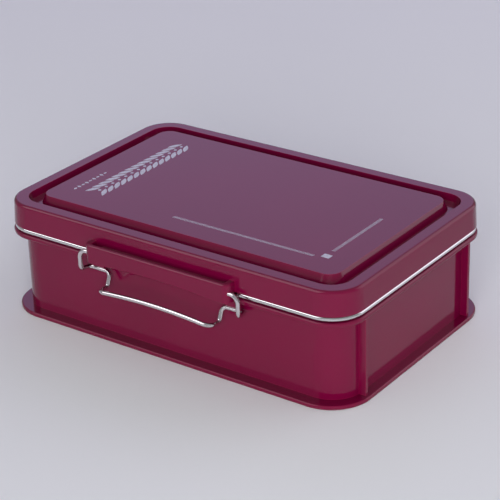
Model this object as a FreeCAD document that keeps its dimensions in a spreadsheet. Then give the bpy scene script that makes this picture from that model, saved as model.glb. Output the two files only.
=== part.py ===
"""Lunch box: plastic sleeve on a foot plate, pressed steel tray, hinged plastic lid, wire latch.

Frame: millimetres, +Z up, X along the long side, front (latch side) towards -Y.
The origin is the centre of the foot plate's underside, on the table.
"""
import FreeCAD, Part
import math
import os
import Sketcher
from FreeCAD import Placement, Rotation, Vector

doc = FreeCAD.newDocument("lunch_box")

# ---------------------------------------------------------------- sizes
SIZES = [
    # foot plate
    ("base_len", 207.6),
    ("base_wid", 135.0),
    ("base_rad", 21.5),
    ("base_thk", 2.0),
    ("base_rib_tall", 4.0),
    # sleeve
    ("wall_set_x", 5.3),
    ("wall_set_y", 6.2),
    ("wall_rad", 16.0),
    ("wall_thk", 2.0),
    ("body_tall", 44.3),
    ("flange_set", 1.0),
    ("flange_thk", 2.4),
    ("flange_rad", 17.5),
    ("fin_out", 3.5),
    ("fin_thk", 1.8),
    ("fin_pos", 0.693),
    # steel tray
    ("tray_gap", 1.4),
    ("tray_lift", 3.0),
    ("tray_draft", 1.2),
    ("steel_thk", 0.6),
    ("tray_corner", 7.0),
    ("bead_rad", 1.5),
    ("bead_set", 1.7),
    # lid
    ("skirt_set", 1.5),
    ("skirt_rad", 17.0),
    ("skirt_gap", 0.1),
    ("lid_tall", 12.3),
    ("lid_thk", 2.0),
    ("lid_draft", 3.2),
    ("rim_wide", 7.3),
    ("groove_wide", 7.4),
    ("groove_deep", 3.8),
    ("panel_rise", 0.9),
    ("panel_slope", 25.0),
    ("panel_rad", 6.5),
    # liner and seal
    ("liner_gap", 0.45),
    ("liner_thk", 1.6),
    ("seal_wide", 2.6),
    ("seal_tall", 3.1),
    # latch hood
    ("hood_len", 86.0),
    ("hood_out", 5.9),
    ("hood_low", 4.5),
    ("hood_high", 5.2),
    ("hood_arch", 1.6),
    ("hood_tab", 73.0),
    ("hood_lip", 1.7),
    ("trough_deep", 2.4),
    ("hood_wall", 2.3),
    ("hood_end", 4.5),
    # wire latch
    ("wire_dia", 2.2),
    ("pivot_in", 2.2),
    ("pivot_up", 0.3),
    ("arm_span", 94.4),
    ("upright_span", 67.4),
    ("hook_drop", 11.2),
    ("hook_in", 6.1),
    ("upright_low", 18.3),
    ("upright_lean", 3.1),
    ("bar_out", 4.4),
    ("bar_drop", 17.4),
    ("bar_arch", 1.5),
    ("wire_bend", 2.2),
    ("arm_bend", 4.2),
    ("bar_bend", 4.0),
    # catch ledges
    ("ledge_len", 7.6),
    ("ledge_pos", 40.4),
    ("ledge_out", 4.0),
    ("ledge_gap", 0.3),
    # rear hinge
    ("hinge_pos", 52.0),
    ("knuckle_len", 8.0),
    ("lid_knuckle", 11.4),
    ("knuckle_gap", 0.3),
    ("knuckle_rad", 3.0),
    ("pin_dia", 2.5),
    ("pin_fit", 0.05),
    ("hinge_out", 3.5),
    ("hinge_up", 1.7),
]

sheet = doc.addObject("Spreadsheet::Sheet", "Sizes")
for row, (alias, value) in enumerate(SIZES, start=1):
    sheet.set("A%d" % row, alias)
    sheet.set("B%d" % row, str(value))
    sheet.setAlias("B%d" % row, alias)
doc.recompute()


def bound(text):
    """Turn words such as base_len in an expression into references to the sheet."""
    for alias in sorted((name for name, _ in SIZES), key=len, reverse=True):
        text = text.replace("{%s}" % alias, "Sizes.%s" % alias)
    return text


# Levels and outlines that several pieces share, as expressions of the sheet's cells.
FLANGE_LOW = "({body_tall}-{flange_thk})"
BEAD_TOP = "({body_tall}+2*{bead_rad})"
SKIRT_LOW = "(%s+{skirt_gap})" % BEAD_TOP
RIM_TOP = "(%s+{lid_tall})" % SKIRT_LOW
GROOVE_LOW = "(%s-{groove_deep})" % RIM_TOP
ROOF_LOW = "(%s-{lid_thk})" % GROOVE_LOW
STEEL_TOP = "({body_tall}+{steel_thk})"
HOOD_FACE = "({base_wid}/2-{skirt_set}+{hood_out})"
PIVOT_Y = "(%s-{pivot_in})" % HOOD_FACE
PIVOT_Z = "(%s+{pivot_up})" % SKIRT_LOW
HINGE_Y = "({base_wid}/2-{flange_set}+{hinge_out})"
HINGE_Z = "({body_tall}+{hinge_up})"
WALL_LEN = "({base_len}-2*{wall_set_x})"
WALL_WID = "({base_wid}-2*{wall_set_y})"
SKIRT_LEN = "({base_len}-2*{skirt_set})"
SKIRT_WID = "({base_wid}-2*{skirt_set})"
TRAY_LEN = "(%s-2*{wall_thk}-2*{tray_gap})" % WALL_LEN
TRAY_WID = "(%s-2*{wall_thk}-2*{tray_gap})" % WALL_WID
TRAY_RAD = "({wall_rad}-{wall_thk}-{tray_gap})"


# ---------------------------------------------------------------- helpers
def new_body(name):
    body = doc.addObject("PartDesign::Body", name)
    body.Label = name
    return body


def plane(body, role):
    for feature in body.Origin.OriginFeatures:
        if feature.Role == role:
            return feature
    raise ValueError(role)


def new_sketch(body, name, role, level):
    """A sketch on one of the body's own origin planes, lifted off it by an expression."""
    sketch = body.newObject("Sketcher::SketchObject", name)
    sketch.AttachmentSupport = (plane(body, role), [""])
    sketch.MapMode = "FlatFace"
    sketch.setExpression(".AttachmentOffset.Base.z", bound(level))
    return sketch


def value_of(text):
    """The number that an expression of the sheet's cells gives now."""
    for alias, _ in SIZES:
        text = text.replace("{%s}" % alias, "(%r)" % float(sheet.get(alias)))
    total = FreeCAD.Units.Quantity(text)
    return total.Value


def rounded_rect(sketch, length, width, radius, tag):
    """Four lines and four tangent arcs about the origin, with three bound sizes."""
    half_x = value_of(length) / 2
    half_y = value_of(width) / 2
    rad = value_of(radius)
    first = sketch.GeometryCount
    corners = [(1, 1, 0), (-1, 1, 90), (-1, -1, 180), (1, -1, 270)]
    for sign_x, sign_y, start in corners:
        centre = Vector(sign_x * (half_x - rad), sign_y * (half_y - rad), 0)
        circle = Part.Circle(centre, Vector(0, 0, 1), rad)
        arc = Part.ArcOfCircle(circle, math.radians(start), math.radians(start + 90))
        sketch.addGeometry(arc, False)
    sides = [
        (Vector(half_x - rad, half_y, 0), Vector(rad - half_x, half_y, 0)),
        (Vector(-half_x, half_y - rad, 0), Vector(-half_x, rad - half_y, 0)),
        (Vector(rad - half_x, -half_y, 0), Vector(half_x - rad, -half_y, 0)),
        (Vector(half_x, rad - half_y, 0), Vector(half_x, half_y - rad, 0)),
    ]
    for start, end in sides:
        sketch.addGeometry(Part.LineSegment(start, end), False)
    for step in range(4):
        arc = first + step
        line = first + 4 + step
        following = first + (step + 1) % 4
        sketch.addConstraint(Sketcher.Constraint("Tangent", arc, 2, line, 1))
        sketch.addConstraint(Sketcher.Constraint("Tangent", line, 2, following, 1))
    for step in (0, 2):
        sketch.addConstraint(Sketcher.Constraint("Horizontal", first + 4 + step))
    sketch.addConstraint(Sketcher.Constraint("Vertical", first + 5))
    for step in range(1, 4):
        sketch.addConstraint(Sketcher.Constraint("Equal", first, first + step))
    sketch.addConstraint(Sketcher.Constraint("Symmetric", first, 3, first + 2, 3, -1, 1))
    across = Sketcher.Constraint("DistanceX", first + 5, 1, first + 7, 1, 2 * half_x)
    along = Sketcher.Constraint("DistanceY", first + 6, 1, first + 4, 1, 2 * half_y)
    for word, constraint, text in (("len", across, length), ("wid", along, width)):
        number = sketch.addConstraint(constraint)
        sketch.renameConstraint(number, tag + word)
        sketch.setExpression("Constraints." + tag + word, bound(text))
    number = sketch.addConstraint(Sketcher.Constraint("Radius", first, rad))
    sketch.renameConstraint(number, tag + "rad")
    sketch.setExpression("Constraints." + tag + "rad", bound(radius))


def polygon(sketch, points, tag):
    """A closed outline; each point is a pair of expressions measured from the origin."""
    places = [Vector(value_of(across), value_of(along), 0) for across, along in points]
    first = sketch.GeometryCount
    count = len(points)
    for step in range(count):
        line = Part.LineSegment(places[step], places[(step + 1) % count])
        sketch.addGeometry(line, False)
    for step in range(count):
        following = first + (step + 1) % count
        sketch.addConstraint(Sketcher.Constraint("Coincident", first + step, 2, following, 1))
    for step, (across, along) in enumerate(points):
        for word, text, size in (("x", across, places[step].x), ("y", along, places[step].y)):
            kind = "DistanceX" if word == "x" else "DistanceY"
            constraint = Sketcher.Constraint(kind, -1, 1, first + step, 1, size)
            name = "%s%s%d" % (tag, word, step)
            number = sketch.addConstraint(constraint)
            sketch.renameConstraint(number, name)
            sketch.setExpression("Constraints." + name, bound(text))


def circle(sketch, across, along, radius, tag):
    centre = Vector(value_of(across), value_of(along), 0)
    item = sketch.addGeometry(Part.Circle(centre, Vector(0, 0, 1), value_of(radius)), False)
    parts = [
        ("x", Sketcher.Constraint("DistanceX", -1, 1, item, 3, centre.x), across),
        ("y", Sketcher.Constraint("DistanceY", -1, 1, item, 3, centre.y), along),
        ("r", Sketcher.Constraint("Radius", item, value_of(radius)), radius),
    ]
    for word, constraint, text in parts:
        number = sketch.addConstraint(constraint)
        sketch.renameConstraint(number, tag + word)
        sketch.setExpression("Constraints." + tag + word, bound(text))


def pad(body, sketch, length, name, reverse=False, taper=None, middle=False):
    feature = body.newObject("PartDesign::Pad", name)
    feature.Profile = sketch
    feature.setExpression("Length", bound(length))
    feature.Reversed = reverse
    feature.Midplane = middle
    if taper:
        feature.setExpression("TaperAngle", bound(taper))
    sketch.Visibility = False
    doc.recompute()
    return feature


def pocket(body, sketch, length, name, reverse=False, taper=None):
    """A pocket that has to remove material, or the build stops."""
    before = body.Shape.Volume
    feature = body.newObject("PartDesign::Pocket", name)
    feature.Profile = sketch
    feature.setExpression("Length", bound(length))
    feature.Reversed = reverse
    if taper:
        feature.setExpression("TaperAngle", bound(taper))
    sketch.Visibility = False
    doc.recompute()
    if body.Shape.Volume > before - 1.0:
        raise RuntimeError("pocket cuts nothing: " + name)
    return feature


def mirror(body, feature, role, name):
    copy = body.newObject("PartDesign::Mirrored", name)
    copy.Originals = [feature]
    copy.MirrorPlane = (plane(body, role), [""])
    body.Tip = copy
    doc.recompute()
    return copy


def edges_where(feature, test):
    return ["Edge%d" % (i + 1) for i, edge in enumerate(feature.Shape.Edges) if test(edge)]


def all_at(edge, level, gap=0.01):
    box = edge.BoundBox
    return abs(box.ZMin - level) < gap and abs(box.ZMax - level) < gap


def round_edges(body, feature, names, size, name, kind="PartDesign::Fillet"):
    if not names:
        raise RuntimeError("no edges for " + name)
    item = body.newObject(kind, name)
    item.Base = (feature, names)
    word = "Radius" if kind.endswith("Fillet") else "Size"
    setattr(item, word, size)
    doc.recompute()
    return item


def within(edge, half_x, half_y):
    """True for an edge that lies wholly inside a box of these half sizes in plan."""
    box = edge.BoundBox
    wide = max(abs(box.XMin), abs(box.XMax))
    deep = max(abs(box.YMin), abs(box.YMax))
    return wide < half_x and deep < half_y


# ---------------------------------------------------------------- foot plate
base = new_body("base_plate")
outline = new_sketch(base, "base_outline", "XY_Plane", "0")
rounded_rect(outline, "{base_len}", "{base_wid}", "{base_rad}", "a")
plate = pad(base, outline, "{base_thk}", "base_pad")
rib = new_sketch(base, "base_rib", "XY_Plane", "{base_thk}")
rounded_rect(rib, WALL_LEN + "-2*{wall_thk}-0.3", WALL_WID + "-2*{wall_thk}-0.3",
             "{wall_rad}-{wall_thk}-0.15", "a")
rounded_rect(rib, WALL_LEN + "-4*{wall_thk}", WALL_WID + "-4*{wall_thk}",
             "{wall_rad}-2*{wall_thk}", "b")
rib_pad = pad(base, rib, "{base_rib_tall}", "base_rib_pad")
top_level = value_of("{base_thk}")
names = edges_where(rib_pad, lambda e: all_at(e, top_level) and not within(
    e, value_of(WALL_LEN) / 2 + 1, value_of(WALL_WID) / 2 + 1))
base_round = round_edges(base, rib_pad, names, 0.7, "base_top_round")
names = edges_where(base_round, lambda e: all_at(e, 0.0))
round_edges(base, base_round, names, 0.3, "base_low_round")

# ---------------------------------------------------------------- sleeve
sleeve = new_body("outer_body")
outline = new_sketch(sleeve, "sleeve_outline", "XY_Plane", "{base_thk}")
rounded_rect(outline, WALL_LEN, WALL_WID, "{wall_rad}", "a")
pad(sleeve, outline, "{body_tall}-{base_thk}", "sleeve_pad")
outline = new_sketch(sleeve, "flange_outline", "XY_Plane", FLANGE_LOW)
rounded_rect(outline, "{base_len}-2*{flange_set}", "{base_wid}-2*{flange_set}",
             "{flange_rad}", "a")
flange = pad(sleeve, outline, "{flange_thk}", "flange_pad")
high = value_of("{body_tall}")
low = value_of(FLANGE_LOW)
names = edges_where(flange, lambda e: all_at(e, high))
flange_top = round_edges(sleeve, flange, names, 0.8, "flange_top_round")
names = edges_where(flange_top, lambda e: all_at(e, low) and not within(
    e, value_of(WALL_LEN) / 2 + 1, value_of(WALL_WID) / 2 + 1))
flange_low = round_edges(sleeve, flange_top, names, 0.9, "flange_low_round")

# fins on the two short ends, from the foot plate to the flange
fin = new_sketch(sleeve, "fin_outline", "XY_Plane", "{base_thk}")
fin_in = "%s/2-1" % WALL_LEN
fin_edge = "%s/2+{fin_out}" % WALL_LEN
fin_far = "{base_wid}/2*{fin_pos}+{fin_thk}/2"
fin_near = "{base_wid}/2*{fin_pos}-{fin_thk}/2"
polygon(fin, [(fin_in, fin_near), (fin_edge, fin_near), (fin_edge, fin_far),
              (fin_in, fin_far)], "a")
fin_pad = pad(sleeve, fin, "{body_tall}-{base_thk}-{flange_thk}+0.5", "fin_pad")
body_pattern = sleeve.newObject("PartDesign::MultiTransform", "fins")
body_pattern.Originals = [fin_pad]
first = sleeve.newObject("PartDesign::Mirrored", "fin_mirror_x")
first.MirrorPlane = (plane(sleeve, "YZ_Plane"), [""])
second = sleeve.newObject("PartDesign::Mirrored", "fin_mirror_y")
second.MirrorPlane = (plane(sleeve, "XZ_Plane"), [""])
body_pattern.Transformations = [first, second]
sleeve.Tip = body_pattern
doc.recompute()

# catch ledges under the front flange, one near each end of the wire
ledge_low = "(%s-{hook_drop}+{wire_dia}/2+{ledge_gap})" % PIVOT_Z
ledge_in = "-%s/2+0.5" % WALL_WID
ledge_face = "-%s/2-{ledge_out}" % WALL_WID
ledge = new_sketch(sleeve, "ledge_outline", "YZ_Plane", "{ledge_pos}-{ledge_len}/2")
polygon(ledge, [(ledge_in, ledge_low), (ledge_face + "+0.6", ledge_low),
                (ledge_face, ledge_low + "+0.6"), (ledge_face, FLANGE_LOW + "+0.5"),
                (ledge_in, FLANGE_LOW + "+0.5")], "a")
ledge_pad = pad(sleeve, ledge, "{ledge_len}", "ledge_pad")
mirror(sleeve, ledge_pad, "YZ_Plane", "ledge_twin")

# rear knuckles: a web from the flange and a barrel round the pin
KNUCKLE_OUT = "{hinge_pos}+{lid_knuckle}/2+{knuckle_gap}"
KNUCKLE_IN = "{hinge_pos}-{lid_knuckle}/2-{knuckle_gap}-{knuckle_len}"


def body_knuckle(level, name):
    web = new_sketch(sleeve, name + "_web", "YZ_Plane", level)
    inner = "{base_wid}/2-{flange_set}-2"
    polygon(web, [(inner, FLANGE_LOW), (HINGE_Y, HINGE_Z + "-{knuckle_rad}"),
                  (HINGE_Y + "+{knuckle_rad}*0.7", HINGE_Z), (HINGE_Y, HINGE_Z + "+0.2"),
                  (HINGE_Y + "-{knuckle_rad}*0.95", "{body_tall}-0.2"),
                  (inner, "{body_tall}-0.2")], "a")
    web_pad = pad(sleeve, web, "{knuckle_len}", name + "_web_pad")
    mirror(sleeve, web_pad, "YZ_Plane", name + "_web_twin")
    barrel = new_sketch(sleeve, name + "_barrel", "YZ_Plane", level)
    circle(barrel, HINGE_Y, HINGE_Z, "{knuckle_rad}", "a")
    barrel_pad = pad(sleeve, barrel, "{knuckle_len}", name + "_barrel_pad")
    mirror(sleeve, barrel_pad, "YZ_Plane", name + "_barrel_twin")


body_knuckle(KNUCKLE_IN, "inner_knuckle")
body_knuckle(KNUCKLE_OUT, "outer_knuckle")
bore = new_sketch(sleeve, "pin_bore", "YZ_Plane", KNUCKLE_IN + "-1")
circle(bore, HINGE_Y, HINGE_Z, "{pin_dia}/2+0.01", "a")
bore_cut = pocket(sleeve, bore, "2*{knuckle_len}+{lid_knuckle}+2*{knuckle_gap}+2",
                  "pin_bore_cut", reverse=True)
mirror(sleeve, bore_cut, "YZ_Plane", "pin_bore_twin")
hollow = new_sketch(sleeve, "sleeve_hollow", "XY_Plane", "{base_thk}")
rounded_rect(hollow, WALL_LEN + "-2*{wall_thk}", WALL_WID + "-2*{wall_thk}",
             "{wall_rad}-{wall_thk}", "a")
pocket(sleeve, hollow, "{body_tall}", "sleeve_hollow_cut", reverse=True)

# ---------------------------------------------------------------- steel tray
tray = new_body("inner_tray")
TRAY_LOW = "({base_thk}+{tray_lift})"
BEAD_LEN = "({base_len}-2*{bead_set}-2*{bead_rad})"
BEAD_WID = "({base_wid}-2*{bead_set}-2*{bead_rad})"
BEAD_CURVE = "({skirt_rad}-{bead_rad})"
outline = new_sketch(tray, "tray_outline", "XY_Plane", STEEL_TOP)
rounded_rect(outline, TRAY_LEN, TRAY_WID, TRAY_RAD, "a")
pad(tray, outline, STEEL_TOP + "-" + TRAY_LOW, "tray_pad", reverse=True,
    taper="-{tray_draft}")
outline = new_sketch(tray, "tray_flange", "XY_Plane", "{body_tall}")
rounded_rect(outline, BEAD_LEN, BEAD_WID, BEAD_CURVE, "a")
pad(tray, outline, "{steel_thk}", "tray_flange_pad")
spine = new_sketch(tray, "bead_path", "XY_Plane", "{body_tall}+{bead_rad}")
rounded_rect(spine, BEAD_LEN, BEAD_WID, BEAD_CURVE, "a")
profile = new_sketch(tray, "bead_section", "XZ_Plane", "0")
circle(profile, BEAD_LEN + "/2", "{body_tall}+{bead_rad}", "{bead_rad}", "a")
doc.recompute()
bead = tray.newObject("PartDesign::AdditivePipe", "bead")
bead.Profile = profile
bead.Spine = (spine, ["Edge%d" % (i + 1) for i in range(8)])
doc.recompute()
hollow = new_sketch(tray, "tray_hollow", "XY_Plane", STEEL_TOP)
rounded_rect(hollow, TRAY_LEN + "-2*{steel_thk}", TRAY_WID + "-2*{steel_thk}",
             TRAY_RAD + "-{steel_thk}", "a")
cut = pocket(tray, hollow, STEEL_TOP + "-%s-{steel_thk}" % TRAY_LOW, "tray_hollow_cut",
             taper="-{tray_draft}")
floor = value_of(TRAY_LOW) + value_of("{steel_thk}")
names = edges_where(cut, lambda e: all_at(e, floor))
inner_round = round_edges(tray, cut, names, value_of("{tray_corner}-{steel_thk}"),
                          "tray_floor_round")
low = value_of(TRAY_LOW)
names = edges_where(inner_round, lambda e: all_at(e, low))
foot = round_edges(tray, inner_round, names, value_of("{tray_corner}"), "tray_foot_round")
top = value_of(STEEL_TOP)
names = edges_where(foot, lambda e: all_at(e, top) and within(
    e, value_of(TRAY_LEN) / 2 - 0.3, value_of(TRAY_WID) / 2 - 0.3))
round_edges(tray, foot, names, 0.45, "tray_mouth_round")

# ---------------------------------------------------------------- lid shell
lid = new_body("lid_shell")
RIM_IN_LEN = "(%s-2*{rim_wide}-0.4)" % SKIRT_LEN
RIM_IN_WID = "(%s-2*{rim_wide}-0.4)" % SKIRT_WID
RIM_IN_RAD = "({skirt_rad}-{rim_wide}+1)"
FOOT_OUT = "{groove_wide}-({groove_deep}+{panel_rise})*tan({panel_slope})"
outline = new_sketch(lid, "skirt_outline", "XY_Plane", SKIRT_LOW)
rounded_rect(outline, SKIRT_LEN, SKIRT_WID, "{skirt_rad}", "a")
block = pad(lid, outline, "{lid_tall}", "skirt_pad", taper="-{lid_draft}")
rim_level = value_of(RIM_TOP)
names = edges_where(block, lambda e: all_at(e, rim_level))
block_top = round_edges(lid, block, names, 1.8, "rim_round")

# front hood that carries the latch
HOOD_TOP = "(%s+{hood_high})" % SKIRT_LOW
HOOD_LOW = "(%s-{hood_low})" % SKIRT_LOW
hood = new_sketch(lid, "hood_section", "YZ_Plane", "0")
clear_y = "-({base_wid}/2-{flange_set}+0.7)"
polygon(hood, [("-" + HOOD_FACE, HOOD_LOW), (clear_y, HOOD_LOW), (clear_y, SKIRT_LOW),
               ("-%s/2+1.2" % SKIRT_WID, SKIRT_LOW), ("-%s/2+1.2" % SKIRT_WID, HOOD_TOP),
               ("-" + HOOD_FACE, HOOD_TOP)], "a")
hood_pad = pad(lid, hood, "{hood_len}", "hood_pad", middle=True)
front = -value_of(HOOD_FACE)
half = value_of("{hood_len}") / 2


def is_hood_corner(edge):
    box = edge.BoundBox
    upright = box.ZLength > 3 and box.XLength < 0.01 and box.YLength < 0.01
    return upright and abs(box.YMin - front) < 0.01 and abs(abs(box.XMin) - half) < 0.01


hood_corner = round_edges(lid, hood_pad, edges_where(hood_pad, is_hood_corner), 3.8,
                          "hood_corner_round")
hood_level = value_of(HOOD_TOP)
skirt_front = -value_of(SKIRT_WID) / 2


def is_hood_top(edge):
    box = edge.BoundBox
    return all_at(edge, hood_level) and box.YMin < skirt_front - 0.5


round_edges(lid, hood_corner, edges_where(hood_corner, is_hood_top), 1.2, "hood_top_round")

# the hood's lower edge: an arch between two tabs
arch_rad = "(({hood_tab}/2)^2/(2*{hood_arch}))"
arch = new_sketch(lid, "hood_arch_cut_outline", "XZ_Plane", "%s-{hood_wall}-4" % HOOD_FACE)
circle(arch, "0", HOOD_LOW + "+{hood_arch}-" + arch_rad, arch_rad, "a")
arch_cut = pocket(lid, arch, "{hood_wall}+8", "hood_arch_cut", reverse=True)
lowest = value_of(HOOD_LOW)
arch_top = lowest + value_of("{hood_arch}")


def is_hood_low(edge):
    box = edge.BoundBox
    level = box.ZMin > lowest - 0.05 and box.ZMax < arch_top + 0.05
    return level and abs(box.YMin - front) < 0.02 and abs(box.YMax - front) < 0.02


round_edges(lid, arch_cut, edges_where(arch_cut, is_hood_low), 0.45, "hood_low_round")
inside = new_sketch(lid, "hood_hollow", "YZ_Plane", "-{hood_len}/2+{hood_end}")
hood_skin = "-%s+{hood_wall}" % HOOD_FACE
hollow_top = SKIRT_LOW + "+0.7"
polygon(inside, [(hood_skin, HOOD_LOW + "-1"), (clear_y + "+0.5", HOOD_LOW + "-1"),
                 (clear_y + "+0.5", SKIRT_LOW), (clear_y, hollow_top),
                 (hood_skin, hollow_top)], "a")
pocket(lid, inside, "{hood_len}-2*{hood_end}", "hood_hollow_cut", reverse=True)
trough_back = "-%s/2+0.0175*{lid_draft}*{hood_high}+0.03" % SKIRT_WID
trough = new_sketch(lid, "hood_trough", "YZ_Plane", "-{hood_len}/2+3.4")
polygon(trough, [("-%s+{hood_lip}" % HOOD_FACE, HOOD_TOP + "+0.1"),
                 ("-%s+{hood_lip}+0.3" % HOOD_FACE, HOOD_TOP + "-{trough_deep}+0.6"),
                 ("-%s+{hood_lip}+0.9" % HOOD_FACE, HOOD_TOP + "-{trough_deep}"),
                 (trough_back, HOOD_TOP + "-{trough_deep}"),
                 (trough_back, HOOD_TOP + "+0.1")], "a")
trough_cut = pocket(lid, trough, "{hood_len}-6.8", "hood_trough_cut", reverse=True)


def is_trough_end(edge):
    box = edge.BoundBox
    rises = box.ZLength > 1 and box.XLength < 0.01
    lip_side = box.YMax < front + value_of("{hood_lip}") + 0.4
    return rises and lip_side and abs(abs(box.XMin) - half + 3.4) < 0.05


round_edges(lid, trough_cut, edges_where(trough_cut, is_trough_end), 1.4, "trough_end_round")
tip = new_sketch(lid, "tip_hole", "YZ_Plane", "{hood_len}/2+0.5")
circle(tip, "-" + PIVOT_Y, PIVOT_Z, "{wire_dia}/2+{pin_fit}", "a")
tip_cut = pocket(lid, tip, "{hood_end}+0.6", "tip_hole_cut")
mirror(lid, tip_cut, "YZ_Plane", "tip_hole_twin")

# groove and raised panel
groove = new_sketch(lid, "groove_outline", "XY_Plane", RIM_TOP)
rounded_rect(groove, RIM_IN_LEN, RIM_IN_WID, RIM_IN_RAD, "a")
groove_cut = pocket(lid, groove, "{groove_deep}", "groove_cut", taper="-6 deg")
PANEL_LEN = "(%s-2*{groove_wide})" % RIM_IN_LEN
PANEL_WID = "(%s-2*{groove_wide})" % RIM_IN_WID
RISE = "({groove_deep}+{panel_rise})"
panel = new_sketch(lid, "panel_outline", "XY_Plane", RIM_TOP + "+{panel_rise}")
rounded_rect(panel, PANEL_LEN, PANEL_WID, "{panel_rad}", "a")
panel_pad = pad(lid, panel, RISE, "panel_pad", reverse=True, taper="{panel_slope}")

# hollow underside: a shallow cavity, a channel under the rim and one under the panel
cavity = new_sketch(lid, "lid_cavity", "XY_Plane", SKIRT_LOW)
rounded_rect(cavity, SKIRT_LEN + "-2*{lid_thk}", SKIRT_WID + "-2*{lid_thk}",
             "{skirt_rad}-{lid_thk}", "a")
pocket(lid, cavity, "%s-%s" % (ROOF_LOW, SKIRT_LOW), "lid_cavity_cut", reverse=True)
channel = new_sketch(lid, "rim_channel", "XY_Plane", ROOF_LOW)
rounded_rect(channel, SKIRT_LEN + "-2*{lid_thk}-1.0", SKIRT_WID + "-2*{lid_thk}-1.0",
             "{skirt_rad}-{lid_thk}-0.5", "a")
rounded_rect(channel, RIM_IN_LEN + "+2*{lid_thk}", RIM_IN_WID + "+2*{lid_thk}",
             RIM_IN_RAD + "+{lid_thk}", "b")
pocket(lid, channel, "{groove_deep}", "rim_channel_cut", reverse=True)
under = new_sketch(lid, "panel_channel", "XY_Plane", ROOF_LOW)
rounded_rect(under, PANEL_LEN + "-1.2", PANEL_WID + "-1.2", "{panel_rad}-0.5", "a")
pocket(lid, under, RISE, "panel_channel_cut", reverse=True)


# rear knuckles of the lid
def lid_knuckle_at(level, name):
    web = new_sketch(lid, name + "_web", "YZ_Plane", level)
    inner = "%s/2-1.0" % SKIRT_WID
    polygon(web, [(inner, SKIRT_LOW + "+0.2"), (HINGE_Y + "-{knuckle_rad}*0.8", SKIRT_LOW + "+0.2"),
                  (HINGE_Y, HINGE_Z), (HINGE_Y + "+{knuckle_rad}*0.8", HINGE_Z + "+{knuckle_rad}*0.6"),
                  (HINGE_Y, HINGE_Z + "+{knuckle_rad}"), (inner, SKIRT_LOW + "+4.4")], "a")
    web_pad = pad(lid, web, "{lid_knuckle}", name + "_web_pad")
    mirror(lid, web_pad, "YZ_Plane", name + "_web_twin")
    barrel = new_sketch(lid, name + "_barrel", "YZ_Plane", level)
    circle(barrel, HINGE_Y, HINGE_Z, "{knuckle_rad}", "a")
    barrel_pad = pad(lid, barrel, "{lid_knuckle}", name + "_barrel_pad")
    mirror(lid, barrel_pad, "YZ_Plane", name + "_barrel_twin")
    bore = new_sketch(lid, name + "_bore", "YZ_Plane", level + "-1")
    circle(bore, HINGE_Y, HINGE_Z, "{pin_dia}/2+{pin_fit}", "a")
    bore_cut = pocket(lid, bore, "{lid_knuckle}+2", name + "_bore_cut", reverse=True)
    mirror(lid, bore_cut, "YZ_Plane", name + "_bore_twin")


lid_knuckle_at("{hinge_pos}-{lid_knuckle}/2", "lid_knuckle")

# ---------------------------------------------------------------- liner and seal
BEAD_IN_LEN = "(%s-2*{bead_rad})" % BEAD_LEN
BEAD_IN_WID = "(%s-2*{bead_rad})" % BEAD_WID
LINER_LEN = "(%s-2*{liner_gap})" % BEAD_IN_LEN
LINER_WID = "(%s-2*{liner_gap})" % BEAD_IN_WID
LINER_RAD = "(%s-{bead_rad}-{liner_gap})" % BEAD_CURVE
LINER_LOW = "(%s+{seal_tall}-{liner_thk}+0.1)" % STEEL_TOP
LINER_RIM = "(2*{liner_thk})"
SEAL_SET = "1.05"
liner = new_body("lid_liner")
outline = new_sketch(liner, "liner_outline", "XY_Plane", LINER_LOW)
rounded_rect(outline, LINER_LEN, LINER_WID, LINER_RAD, "a")
pad(liner, outline, LINER_RIM, "liner_pad")
wall = new_sketch(liner, "liner_wall", "XY_Plane", "%s+%s-0.1" % (LINER_LOW, LINER_RIM))
rounded_rect(wall, RIM_IN_LEN + "+2*{lid_thk}", RIM_IN_WID + "+2*{lid_thk}",
             RIM_IN_RAD + "+{lid_thk}", "a")
rounded_rect(wall, RIM_IN_LEN + "+2*{lid_thk}-3.2", RIM_IN_WID + "+2*{lid_thk}-3.2",
             RIM_IN_RAD + "+{lid_thk}-1.6", "b")
pad(liner, wall, "%s-%s-%s+0.1" % (ROOF_LOW, LINER_LOW, LINER_RIM), "liner_wall_pad")
well = new_sketch(liner, "liner_well", "XY_Plane", LINER_LOW)
rounded_rect(well, LINER_LEN + "-10.6", LINER_WID + "-10.6", LINER_RAD + "-5.3", "a")
pocket(liner, well, "{liner_thk}", "liner_well_cut", reverse=True)
seat = new_sketch(liner, "seal_seat", "XY_Plane", LINER_LOW)
rounded_rect(seat, "%s-2*%s" % (LINER_LEN, SEAL_SET), "%s-2*%s" % (LINER_WID, SEAL_SET),
             "%s-%s" % (LINER_RAD, SEAL_SET), "a")
rounded_rect(seat, "%s-2*%s-2*{seal_wide}-0.1" % (LINER_LEN, SEAL_SET),
             "%s-2*%s-2*{seal_wide}-0.1" % (LINER_WID, SEAL_SET),
             "%s-%s-{seal_wide}-0.05" % (LINER_RAD, SEAL_SET), "b")
pocket(liner, seat, "{liner_thk}", "seal_seat_cut", reverse=True)

seal = new_body("lid_gasket")
outline = new_sketch(seal, "seal_outline", "XY_Plane", STEEL_TOP + "+0.1")
rounded_rect(outline, "%s-2*%s-0.1" % (LINER_LEN, SEAL_SET),
             "%s-2*%s-0.1" % (LINER_WID, SEAL_SET), "%s-%s-0.05" % (LINER_RAD, SEAL_SET), "a")
rounded_rect(outline, "%s-2*%s-2*{seal_wide}" % (LINER_LEN, SEAL_SET),
             "%s-2*%s-2*{seal_wide}" % (LINER_WID, SEAL_SET),
             "%s-%s-{seal_wide}" % (LINER_RAD, SEAL_SET), "b")
ring = pad(seal, outline, "{seal_tall}", "seal_pad")
low = value_of(STEEL_TOP + "+0.1")
round_edges(seal, ring, edges_where(ring, lambda e: all_at(e, low)), 0.9, "seal_lip_round")

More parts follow.
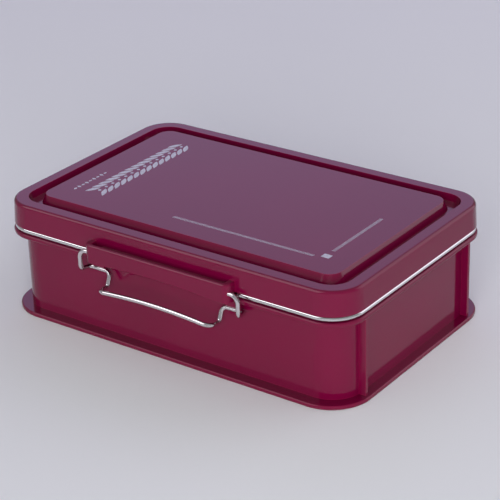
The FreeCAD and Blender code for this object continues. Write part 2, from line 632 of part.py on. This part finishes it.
# ---------------------------------------------------------------- hinge pins
PIN_LONG = "(2*{knuckle_len}+{lid_knuckle}+2*{knuckle_gap})"
for side, name in ((-1, "hinge_pin_left"), (1, "hinge_pin_right")):
    pin = doc.addObject("Part::Cylinder", name)
    pin.Label = name
    pin.setExpression("Radius", bound("{pin_dia}/2"))
    pin.setExpression("Height", bound(PIN_LONG))
    pin.Placement = Placement(Vector(0, 0, 0), Rotation(Vector(0, 1, 0), 90))
    start = "{hinge_pos}-%s/2" % PIN_LONG if side > 0 else "-{hinge_pos}-%s/2" % PIN_LONG
    pin.setExpression(".Placement.Base.x", bound(start))
    pin.setExpression(".Placement.Base.y", bound(HINGE_Y))
    pin.setExpression(".Placement.Base.z", bound(HINGE_Z))


# ---------------------------------------------------------------- wire latch
def rounded_path(points, bends):
    """Straight runs joined by tangent arcs; each inner point has its own bend radius."""
    edges = []
    start = points[0]
    for before, corner, after, bend in zip(points, points[1:], points[2:], bends):
        toward = (before - corner).normalize()
        away = (after - corner).normalize()
        half_turn = toward.getAngle(away) / 2
        reach = bend / math.tan(half_turn)
        entry = corner + toward * reach
        leave = corner + away * reach
        axis = (toward + away).normalize()
        middle = corner + axis * (bend / math.sin(half_turn) - bend)
        edges.append(Part.LineSegment(start, entry).toShape())
        edges.append(Part.Arc(entry, middle, leave).toShape())
        start = leave
    edges.append(Part.LineSegment(start, points[-1]).toShape())
    return Part.Wire(edges)


pivot_y = -value_of(PIVOT_Y)
pivot_z = value_of(PIVOT_Z)
tip_x = value_of("{hood_len}/2-{hood_end}+0.6")
arm_x = value_of("{arm_span}/2")
upright_x = value_of("{upright_span}/2")
hook_y = pivot_y + value_of("{hook_in}")
hook_z = pivot_z - value_of("{hook_drop}")
low_y = hook_y - value_of("{upright_lean}")
low_z = pivot_z - value_of("{upright_low}")
bar_y = pivot_y - value_of("{bar_out}")
bar_z = pivot_z - value_of("{bar_drop}")
bend = value_of("{wire_bend}")
arch = value_of("{bar_arch}")
right_half = [
    Vector(tip_x, pivot_y, pivot_z),
    Vector(arm_x, pivot_y, pivot_z),
    Vector(arm_x, pivot_y, hook_z + 0.7),
    Vector(arm_x - 0.8, hook_y, hook_z + 0.2),
    Vector(upright_x, hook_y, hook_z),
    Vector(upright_x, low_y, low_z),
    Vector(upright_x - 0.2, bar_y, bar_z),
]
right_bends = [value_of("{arm_bend}"), bend, bend, bend + 0.6, bend, value_of("{bar_bend}")]
left_half = [Vector(-place.x, place.y, place.z) for place in right_half]
# the bar bows upwards: one wide bend at its middle, from near one corner to near the other
crown = Vector(0, bar_y, bar_z + 2 * arch)
bar_run = crown - right_half[-1]
crown_bend = 0.82 * bar_run.Length * math.tan(bar_run.getAngle(Vector(0, 0, 1)))
bends = right_bends + [crown_bend] + right_bends[::-1]
spine = rounded_path(left_half + [crown] + right_half[::-1], bends)
section = Part.Circle(left_half[0], Vector(1, 0, 0), value_of("{wire_dia}/2")).toShape()
wire_shape = spine.makePipeShell([Part.Wire([section])], True, False, 2)
latch = doc.addObject("Part::Feature", "wire_latch")
latch.Label = "wire_latch"
latch.Shape = wire_shape
latch.Placement = Placement(Vector(0, 0, 0), Rotation())
doc.recompute()

# ---------------------------------------------------------------- check and export
NODES = ["outer_body", "base_plate", "inner_tray", "lid_shell", "lid_liner", "lid_gasket",
         "wire_latch", "hinge_pin_left", "hinge_pin_right"]
for item in doc.Objects:
    if "Invalid" in item.State or "Error" in item.State:
        raise RuntimeError("%s is %s" % (item.Name, item.State))
os.makedirs("parts", exist_ok=True)
for name in NODES:
    shape = doc.getObject(name).Shape
    if shape.isNull() or not shape.isValid() or not shape.Solids:
        raise RuntimeError("bad shape: " + name)
    shape.exportStep(os.path.join("parts", name + ".step"))
    box = shape.BoundBox
    print("%-16s %d solid, %9.1f mm3, x %.2f..%.2f y %.2f..%.2f z %.2f..%.2f" % (
        name, len(shape.Solids), shape.Volume, box.XMin, box.XMax, box.YMin, box.YMax,
        box.ZMin, box.ZMax))
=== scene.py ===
# %% [markdown]
# # A lunch box with a steel tray and a wire latch
# The box is a glossy cherry-red plastic sleeve on a wide foot plate. A pressed steel tray hangs in
# it, and the tray's rolled rim shows as a bright line under the lid. The lid has a flat rim, a
# groove and a raised panel, and a hood at the front that holds a bent spring wire.
# The measured solids are loaded first and never changed. This script adds their finishes, the
# print on the lid, a studio and a camera.

# %% Load the frame and note its box
import math

import bmesh
import bpy
from mathutils import Matrix, Vector


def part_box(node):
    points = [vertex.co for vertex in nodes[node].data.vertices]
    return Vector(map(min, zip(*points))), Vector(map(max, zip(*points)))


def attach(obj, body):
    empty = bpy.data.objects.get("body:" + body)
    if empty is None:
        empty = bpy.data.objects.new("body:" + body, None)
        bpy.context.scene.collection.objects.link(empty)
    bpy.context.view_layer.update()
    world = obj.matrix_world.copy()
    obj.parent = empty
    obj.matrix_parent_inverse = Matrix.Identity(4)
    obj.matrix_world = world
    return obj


MM = 0.001
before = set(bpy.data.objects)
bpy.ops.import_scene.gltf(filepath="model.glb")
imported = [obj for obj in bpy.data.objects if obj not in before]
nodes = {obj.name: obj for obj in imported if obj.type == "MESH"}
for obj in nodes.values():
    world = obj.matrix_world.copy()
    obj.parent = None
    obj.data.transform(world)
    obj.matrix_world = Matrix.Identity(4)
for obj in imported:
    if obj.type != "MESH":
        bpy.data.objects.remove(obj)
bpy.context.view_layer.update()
print("solids:", sorted(nodes))

# %% [markdown]
# ## Camera
# The camera stands in front and to the right, looking down at the lid. A long lens keeps the far
# edges from shrinking much. Its place is worked out from an azimuth, an elevation and a distance,
# because those three are easier to reason about than a raw location.

# %% Place the camera
AZIMUTH = math.radians(36.354)
ELEVATION = math.radians(25.442)
ROLL = math.radians(-1.813)
DISTANCE = 0.91241
AIM_RIGHT = 0.002949
AIM_UP = 0.027992
LENS = 129.13

back = Vector((
    math.sin(AZIMUTH) * math.cos(ELEVATION),
    -math.cos(AZIMUTH) * math.cos(ELEVATION),
    math.sin(ELEVATION),
))
level_right = Vector((math.cos(AZIMUTH), math.sin(AZIMUTH), 0.0))
level_up = back.cross(level_right)
right = level_right * math.cos(ROLL) + level_up * math.sin(ROLL)
up = level_up * math.cos(ROLL) - level_right * math.sin(ROLL)

camera_data = bpy.data.cameras.new("camera")
camera_data.lens = LENS
camera_data.sensor_width = 36.0
camera_data.clip_start = 0.05
camera_data.clip_end = 20.0
camera = bpy.data.objects.new("camera", camera_data)
bpy.context.scene.collection.objects.link(camera)
turn = Matrix((right, up, back)).transposed().to_4x4()
place = back * DISTANCE + level_right * AIM_RIGHT + level_up * AIM_UP
camera.matrix_world = Matrix.Translation(place) @ turn
bpy.context.scene.camera = camera
print("camera stands", [round(x, 3) for x in place])

# %% [markdown]
# ## Floor
# The box stands on a wide sheet of pale matte paper. It could be curved up behind the box to hide
# the horizon, but a flat grid is simpler and shows the contact shadow well. Its colour is one
# plain value on the shader, the same for the camera and for the light that bounces off it.
# It lies a fifth of a millimetre low, so that its face never fights with the foot plate's.

# %% Build the floor
FLOOR_COLOR = (0.86, 0.87, 0.89)
FLOOR_SIZE = 9.0
FLOOR_DROP = 0.2 * MM
bpy.context.scene.view_settings.view_transform = "Standard"


def link_mesh(name, mesh):
    """Give a bmesh an object of that name, at the origin."""
    data = bpy.data.meshes.new(name)
    mesh.to_mesh(data)
    mesh.free()
    thing = bpy.data.objects.new(name, data)
    bpy.context.scene.collection.objects.link(thing)
    return thing


def new_material(name, color, roughness, metallic=0.0, specular=0.5):
    """A material with a Principled shader, and its node tree and shader for further work."""
    made = bpy.data.materials.new(name)
    made.use_nodes = True
    tree = made.node_tree
    shader = tree.nodes["Principled BSDF"]
    shader.inputs["Base Color"].default_value = (*color, 1.0)
    shader.inputs["Roughness"].default_value = roughness
    shader.inputs["Metallic"].default_value = metallic
    shader.inputs["Specular IOR Level"].default_value = specular
    made.diffuse_color = (*color, 1.0)
    return made, tree, shader


floor_finish = new_material("studio_paper", FLOOR_COLOR, 0.9, specular=0.0)[0]
floor_mesh = bmesh.new()
bmesh.ops.create_grid(floor_mesh, x_segments=1, y_segments=1, size=FLOOR_SIZE)
floor = link_mesh("studio_floor", floor_mesh)
floor.location.z = -FLOOR_DROP
floor.data.materials.append(floor_finish)
print("floor of", floor_finish.name, "at", floor.location.z)

# %% [markdown]
# ## Lamps and cards
# Glossy plastic shows what stands round it, so the room matters as much as the lamps do. A pale
# room gives soft light from everywhere, and big square lamps keep the shadows soft.
# The lamp in front gives most of the light. In the gloss it would show as a hard bright square,
# so it is left out of mirror reflections, and two cards stand in for it there and light nothing.
# A real lamp can't be split like this; it is a switch on each lamp for each kind of ray. Two
# lamps behind the box lift its far edges, and the lavender one gives the lid panel a cool sheen.

# %% Light the room
ROOM_COLOR = (0.94, 0.95, 1.0, 1.0)
ROOM_STRENGTH = 0.36
world = bpy.data.worlds.new("studio")
bpy.context.scene.world = world
world.use_nodes = True
room = world.node_tree.nodes["Background"]
room.inputs["Color"].default_value = ROOM_COLOR
room.inputs["Strength"].default_value = ROOM_STRENGTH


def softbox(name, where, aim, size, power, tint=(1.0, 1.0, 1.0), mirrored=True, lights=True):
    """A square area lamp that looks at a point; it can be left out of mirrors or of soft light."""
    lamp = bpy.data.lights.new(name, "AREA")
    lamp.size = size
    lamp.energy = power
    lamp.color = tint
    thing = bpy.data.objects.new(name, lamp)
    bpy.context.scene.collection.objects.link(thing)
    thing.location = where
    thing.visible_glossy = mirrored
    thing.visible_diffuse = lights
    thing.rotation_mode = "QUATERNION"
    thing.rotation_quaternion = (Vector(aim) - Vector(where)).to_track_quat("-Z", "Y")


FRONT_PLACE = (1.02, -1.63, 0.57)
LEFT_PLACE = (-0.83, -1.14, 1.35)
BACK_PLACE = (-1.1, 1.5, 0.95)
FAR_PLACE = (1.1, 1.55, 0.75)
BOX_MIDDLE = (0, 0, 0.03)
LID_HEIGHT = (0, 0, 0.05)
NEAR_WHITE = (0.98, 0.94, 1.0)
LAVENDER = (0.60, 0.43, 0.98)
PALE_LAVENDER = (0.90, 0.86, 1.0)
softbox("front_softbox", FRONT_PLACE, BOX_MIDDLE, 1.3, 37.0, mirrored=False)
softbox("left_card", LEFT_PLACE, BOX_MIDDLE, 1.6, 16.0, NEAR_WHITE, lights=False)
softbox("front_card", FRONT_PLACE, BOX_MIDDLE, 0.7, 4.6, lights=False)
softbox("back_softbox", BACK_PLACE, LID_HEIGHT, 1.7, 6.8, LAVENDER)
softbox("far_softbox", FAR_PLACE, LID_HEIGHT, 1.7, 11.0, PALE_LAVENDER)
print("lamps and cards:", sorted(lamp.name for lamp in bpy.data.lights))

# %% [markdown]
# ## Tools for uneven surfaces
# No made surface is perfectly even. Its colour, gloss and height could be painted in images, but
# noise textures on object coordinates need no seams and no files, and they stay put when a piece
# moves. These helpers make a noise, map it to a range, mix two colours by it, and turn it into
# bumps. The last one finds rounded edges, from how far a small bevel would turn the normal.

# %% Define the tools


def noise(tree, vector, scale, detail=3.0, roughness=0.5):
    """A noise texture read at these coordinates; scale is in bumps per metre."""
    texture = tree.nodes.new("ShaderNodeTexNoise")
    texture.inputs["Scale"].default_value = scale
    texture.inputs["Detail"].default_value = detail
    texture.inputs["Roughness"].default_value = roughness
    tree.links.new(vector, texture.inputs["Vector"])
    return texture.outputs["Fac"]


def spread(tree, value, low, high, start=0.3, end=0.7):
    """Map a value between start and end to the range from low to high."""
    node = tree.nodes.new("ShaderNodeMapRange")
    node.inputs["From Min"].default_value = start
    node.inputs["From Max"].default_value = end
    node.inputs["To Min"].default_value = low
    node.inputs["To Max"].default_value = high
    tree.links.new(value, node.inputs["Value"])
    return node.outputs["Result"]


def blend_color(tree, amount, first, second):
    """Mix two colours; each is a colour tuple or an output socket."""
    node = tree.nodes.new("ShaderNodeMix")
    node.data_type = "RGBA"
    tree.links.new(amount, node.inputs["Factor"])
    sockets = [s for s in node.inputs if s.type == "RGBA"]
    for socket, color in zip(sockets, (first, second)):
        if isinstance(color, tuple):
            socket.default_value = (*color, 1.0)
        else:
            tree.links.new(color, socket)
    return [s for s in node.outputs if s.type == "RGBA"][0]


def add_bump(tree, shader, layers):
    """Chain bumps into the shader's normal; each layer is (height, strength, distance)."""
    normal = None
    for height, strength, distance in layers:
        node = tree.nodes.new("ShaderNodeBump")
        node.inputs["Strength"].default_value = strength
        node.inputs["Distance"].default_value = distance
        tree.links.new(height, node.inputs["Height"])
        if normal is not None:
            tree.links.new(normal, node.inputs["Normal"])
        normal = node.outputs["Normal"]
    tree.links.new(normal, shader.inputs["Normal"])


def object_coordinates(tree, stretch=(1.0, 1.0, 1.0)):
    """Object coordinates in metres, stretched along each axis."""
    source = tree.nodes.new("ShaderNodeTexCoord")
    mapping = tree.nodes.new("ShaderNodeMapping")
    mapping.inputs["Scale"].default_value = stretch
    tree.links.new(source.outputs["Object"], mapping.inputs["Vector"])
    return mapping.outputs["Vector"]


def rounded_edge_mask(tree, radius):
    """Near 1 on tight rounded edges and 0 on flats."""
    bevel = tree.nodes.new("ShaderNodeBevel")
    bevel.samples = 4
    bevel.inputs["Radius"].default_value = radius
    geometry = tree.nodes.new("ShaderNodeNewGeometry")
    dot = tree.nodes.new("ShaderNodeVectorMath")
    dot.operation = "DOT_PRODUCT"
    tree.links.new(bevel.outputs["Normal"], dot.inputs[0])
    tree.links.new(geometry.outputs["Normal"], dot.inputs[1])
    return spread(tree, dot.outputs["Value"], 1.0, 0.0, 0.90, 0.995)


print("tools ready for plastic, steel, silicone and ink")

# %% [markdown]
# ## Cherry-red plastic
# The shell is injection moulded and polished. The pigment drifts a little from the gate outwards,
# the gloss varies in soft patches, there is a slight orange peel with a finer grain in it, and the
# rounded edges look brighter because light passes into them. Real subsurface light would cost
# time for a dark plastic, so a lighter colour is painted on the edges as a painted glow.

# %% Mix the plastic
PIGMENT_DRIFT = 14.0
GLOSS_PATCH = 45.0
ORANGE_PEEL = 260.0
FINE_GRAIN = 1800.0
PEEL_BUMP = (0.05, 0.15 * MM)
GRAIN_BUMP = (0.03, 0.02 * MM)
EDGE_RADIUS = 0.9 * MM


def cherry_plastic(name, color, edge_glow_color, gloss, specular=0.36):
    """Polished plastic with drifting pigment, a painted glow on rounded edges, uneven gloss and
    orange peel.
    """
    made, tree, shader = new_material(name, color, gloss, specular=specular)
    where = object_coordinates(tree)
    drift = spread(tree, noise(tree, where, PIGMENT_DRIFT, 2.0), 0.0, 1.0)
    darker = tuple(c * 0.93 for c in color)
    lighter = tuple(c * 1.05 for c in color)
    pigment = blend_color(tree, drift, darker, lighter)
    # painted glow: rounded edges get a lighter colour in place of light passing into the plastic
    mask = rounded_edge_mask(tree, EDGE_RADIUS)
    tree.links.new(blend_color(tree, mask, pigment, edge_glow_color), shader.inputs["Base Color"])
    patches = spread(tree, noise(tree, where, GLOSS_PATCH, 4.0), gloss * 0.8, gloss * 1.25)
    tree.links.new(patches, shader.inputs["Roughness"])
    peel = noise(tree, where, ORANGE_PEEL, 1.0)
    grain = noise(tree, where, FINE_GRAIN, 2.0)
    add_bump(tree, shader, [(peel, *PEEL_BUMP), (grain, *GRAIN_BUMP)])
    return made


CHERRY = (0.142, 0.0008, 0.029)
# painted glow for rounded edges, a lighter red standing in for light passing into the plastic
CHERRY_EDGE_GLOW = (0.20, 0.003, 0.036)
CHERRY_INSIDE = (0.13, 0.003, 0.028)
shell_finish = cherry_plastic("cherry_gloss", CHERRY, CHERRY_EDGE_GLOW, 0.10)
lid_finish = cherry_plastic("cherry_lid_gloss", CHERRY, CHERRY_EDGE_GLOW, 0.11)
inner_finish = cherry_plastic("cherry_satin", CHERRY_INSIDE, CHERRY_EDGE_GLOW, 0.38)
print("plastics mixed:", shell_finish.name, lid_finish.name, inner_finish.name)

# %% [markdown]
# ## Steel
# The tray is polished sheet: fine lines from the polishing belt run along its sides, and the
# rolled rim is the brightest part. The latch is drawn wire, with faint lines along its length.
# A metal shader has an anisotropy value for such lines, but stretched noise in the roughness and
# the bumps shows the lines themselves up close, so it is used for all three metals.

# %% Make the metals
LINE_DEPTH = 0.02 * MM
ROUND_THE_TRAY = (1.0, 1.0, 30.0)
ALONG_THE_WIRE = (0.2, 1.0, 1.0)


def steel(name, color, gloss, stretch, line_scale):
    """Polished metal with fine lines, drawn out along the axes that are stretched least."""
    made, tree, shader = new_material(name, color, gloss, metallic=1.0)
    lines = noise(tree, object_coordinates(tree, stretch), line_scale, 5.0, 0.6)
    cloud = noise(tree, object_coordinates(tree), 30.0, 3.0)
    tone = spread(tree, cloud, 0.0, 1.0)
    darker = tuple(c * 0.9 for c in color)
    tree.links.new(blend_color(tree, tone, darker, color), shader.inputs["Base Color"])
    rough = spread(tree, lines, gloss * 0.7, gloss * 1.5)
    tree.links.new(rough, shader.inputs["Roughness"])
    add_bump(tree, shader, [(lines, 0.12, LINE_DEPTH)])
    return made


TRAY_STEEL = (0.74, 0.72, 0.72)
WIRE_STEEL = (0.74, 0.70, 0.71)
PIN_STEEL = (0.60, 0.60, 0.62)
tray_finish = steel("polished_tray_steel", TRAY_STEEL, 0.14, ROUND_THE_TRAY, 90.0)
wire_finish = steel("drawn_wire_steel", WIRE_STEEL, 0.13, ALONG_THE_WIRE, 900.0)
pin_finish = steel("pin_steel", PIN_STEEL, 0.28, ALONG_THE_WIRE, 700.0)
print("metals made:", tray_finish.name, wire_finish.name, pin_finish.name)

# %% [markdown]
# ## Silicone seal
# The seal is soft white silicone: matte, slightly dusty, with a little light passing through it.
# It is pale and thin, so here real subsurface light is worth its cost.

# %% Make the seal
SEAL_COLOR = (0.78, 0.78, 0.75)
DUSTY_SEAL = (0.74, 0.74, 0.71)
CLEAN_SEAL = (0.82, 0.82, 0.80)
seal_finish, seal_tree, seal_shader = new_material("white_silicone", SEAL_COLOR, 0.55)
seal_where = object_coordinates(seal_tree)
dust = spread(seal_tree, noise(seal_tree, seal_where, 120.0, 4.0), 0.0, 1.0)
seal_color = blend_color(seal_tree, dust, DUSTY_SEAL, CLEAN_SEAL)
seal_tree.links.new(seal_color, seal_shader.inputs["Base Color"])
seal_shader.inputs["Subsurface Weight"].default_value = 0.15
seal_shader.inputs["Subsurface Radius"].default_value = (0.002, 0.002, 0.0018)
add_bump(seal_tree, seal_shader, [(noise(seal_tree, seal_where, 2500.0), 0.08, 0.03 * MM)])
print("seal made:", seal_finish.name)

# %% [markdown]
# ## Finishes on the solids
# Each solid is one real piece in one material, so it gets one finish. A table from piece to finish
# is easier to check than a line for each piece, and a misspelt name stops the script at once.

# %% Put each finish on its solid
FINISHES = {
    "outer_body": shell_finish,
    "base_plate": shell_finish,
    "lid_shell": lid_finish,
    "lid_liner": inner_finish,
    "inner_tray": tray_finish,
    "wire_latch": wire_finish,
    "hinge_pin_left": pin_finish,
    "hinge_pin_right": pin_finish,
    "lid_gasket": seal_finish,
}
for name, finish in FINISHES.items():
    solid = nodes[name]
    solid.data.materials.clear()
    solid.data.materials.append(finish)
print("finishes on", len(FINISHES), "solids")

# %% [markdown]
# ## Ink
# The print is pale screen ink. Under a lens it is a film of small specks, so its colour follows a
# fine noise between a darker and a lighter tone.

# %% Mix the ink
INK_COLOR = (0.56, 0.56, 0.66)
THIN_INK = (0.47, 0.45, 0.55)
FULL_INK = (0.60, 0.60, 0.70)
ink_finish, ink_tree, ink_shader = new_material("pale_ink", INK_COLOR, 0.5, specular=0.3)
ink_where = object_coordinates(ink_tree)
speckle = spread(ink_tree, noise(ink_tree, ink_where, 900.0, 4.0), 0.0, 1.0, 0.35, 0.6)
ink_color = blend_color(ink_tree, speckle, THIN_INK, FULL_INK)
ink_tree.links.new(ink_color, ink_shader.inputs["Base Color"])
print("ink mixed:", ink_finish.name)

# %% [markdown]
# ## Marks
# The print is made of small flat marks. It could be an image on the lid, but flat shapes stay
# sharp at any size and need no file. Each mark starts as a filled circle with few or many
# corners, and one matrix sizes, turns and places it on the panel, in millimetres.
# A finished sheet of marks is given the ink's thickness and rides on the lid when it opens.

# %% Define the marks
INK_THICK = 0.02 * MM
INK_GAP = 0.005 * MM
panel_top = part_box("lid_shell")[1].z


def mark_place(where, angle, size):
    """The matrix that sizes a unit mark, turns it and moves it to its place on the panel."""
    return (
        Matrix.Translation((where[0] * MM, where[1] * MM, 0.0))
        @ Matrix.Rotation(math.radians(angle), 4, "Z")
        @ Matrix.Diagonal((size[0] * MM, size[1] * MM, 1.0, 1.0))
    )


def add_mark(mesh, corner_count, where, angle, size):
    """Add a flat mark with this many corners."""
    made = bmesh.ops.create_circle(mesh, cap_ends=True, segments=corner_count, radius=0.5)
    bmesh.ops.transform(mesh, matrix=mark_place(where, angle, size), verts=made["verts"])


def add_square(mesh, where, angle, size):
    """A four-cornered mark whose sides, and not its corners, lie along its own axes."""
    root = math.sqrt(2.0)
    made = bmesh.ops.create_circle(mesh, cap_ends=True, segments=4, radius=root / 2)
    matrix = mark_place(where, angle, size) @ Matrix.Rotation(math.radians(45), 4, "Z")
    bmesh.ops.transform(mesh, matrix=matrix, verts=made["verts"])


def add_leaf(mesh, where, angle, size):
    """A pointed leaf: a circle whose width shrinks towards both ends."""
    made = bmesh.ops.create_circle(mesh, cap_ends=True, segments=20, radius=0.5)
    for corner in made["verts"]:
        across = abs(corner.co.x) * 2.0
        corner.co.y *= (1.0 - across ** 2) ** 0.5 if across < 1.0 else 0.0
    bmesh.ops.transform(mesh, matrix=mark_place(where, angle, size), verts=made["verts"])


def finish_print(name, mesh):
    """Lift the marks onto the panel, give them the ink's thickness and let them ride on the lid."""
    faces = mesh.faces[:]
    grown = bmesh.ops.extrude_face_region(mesh, geom=faces)
    raised = [item for item in grown["geom"] if isinstance(item, bmesh.types.BMVert)]
    bmesh.ops.translate(mesh, verts=raised, vec=(0.0, 0.0, INK_THICK))
    bmesh.ops.translate(mesh, verts=mesh.verts, vec=(0.0, 0.0, panel_top + INK_GAP))
    bmesh.ops.recalc_face_normals(mesh, faces=mesh.faces)
    thing = link_mesh(name, mesh)
    thing.data.materials.append(ink_finish)
    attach(thing, "lid")


print("marks will lie at", round(panel_top / MM, 2), "mm")

# %% [markdown]
# ## Leaf band
# A wide decorated band runs along the left end of the panel. It is a plain leaf pattern: pairs of
# leaves that lean away from each other, with a small round berry between them.

# %% Draw the leaf band
BAND_X = -65.3
BAND_START = -32.5
BAND_STEP = 5.15
LEAF_PAIRS = 14
LEAF_SIZE = (8.6, 2.6)
LEAF_LEAN = 62.0
LEAF_SHIFT = 3.6
BERRY_SIZE = (1.7, 1.7)
BERRY_RISE = 0.9
band = bmesh.new()
for step in range(LEAF_PAIRS):
    centre = BAND_START + step * BAND_STEP
    add_leaf(band, (BAND_X - LEAF_SHIFT, centre), LEAF_LEAN, LEAF_SIZE)
    add_leaf(band, (BAND_X + LEAF_SHIFT, centre), 180.0 - LEAF_LEAN, LEAF_SIZE)
    add_mark(band, 12, (BAND_X, centre + BERRY_RISE), 0.0, BERRY_SIZE)
finish_print("print_leaf_band", band)
print("leaf band of", LEAF_PAIRS, "pairs")

# %% [markdown]
# ## Short row
# A short row of small diamonds stands beside the band. Wide and tall ones take turns, so that it
# reads as an ornament and not as letters.

# %% Draw the short row
ROW_X = -77.0
ROW_START = -36.5
ROW_STEP = 2.9
ROW_COUNT = 9
WIDE_DIAMOND = (2.9, 1.9)
TALL_DIAMOND = (1.5, 2.6)
row = bmesh.new()
for step in range(ROW_COUNT):
    diamond = WIDE_DIAMOND if step % 2 else TALL_DIAMOND
    add_mark(row, 4, (ROW_X, ROW_START + step * ROW_STEP), 0.0, diamond)
finish_print("print_short_row", row)
print("short row of", ROW_COUNT, "diamonds")

# %% [markdown]
# ## Stitched rules
# Two fine rules run along the front and right edges of the panel towards a small square. Each is
# a row of slanted stitches, a step apart, which looks livelier than one long strip.

# %% Draw the rules
FRONT_RULE_Y = -37.6
FRONT_RULE_SPAN = (-13.5, 68.0)
RIGHT_RULE_X = 72.6
RIGHT_RULE_SPAN = (-28.5, 14.0)
STITCH_SLANT = 20.0
STITCH_STEP = 1.15
STITCH_SIZE = (1.9, 0.42)
CORNER_SQUARE = (72.9, -34.9)
CORNER_SIZE = (4.4, 3.6)


def stitches(start, end):
    """The places of the stitches along a rule."""
    stitch = start
    while stitch < end:
        yield stitch
        stitch += STITCH_STEP


rules = bmesh.new()
for x in stitches(*FRONT_RULE_SPAN):
    add_square(rules, (x, FRONT_RULE_Y), 90.0 - STITCH_SLANT, STITCH_SIZE)
for y in stitches(*RIGHT_RULE_SPAN):
    add_square(rules, (RIGHT_RULE_X, y), STITCH_SLANT, STITCH_SIZE)
add_square(rules, CORNER_SQUARE, 0.0, CORNER_SIZE)
finish_print("print_rules", rules)
print("rules end at", CORNER_SQUARE)
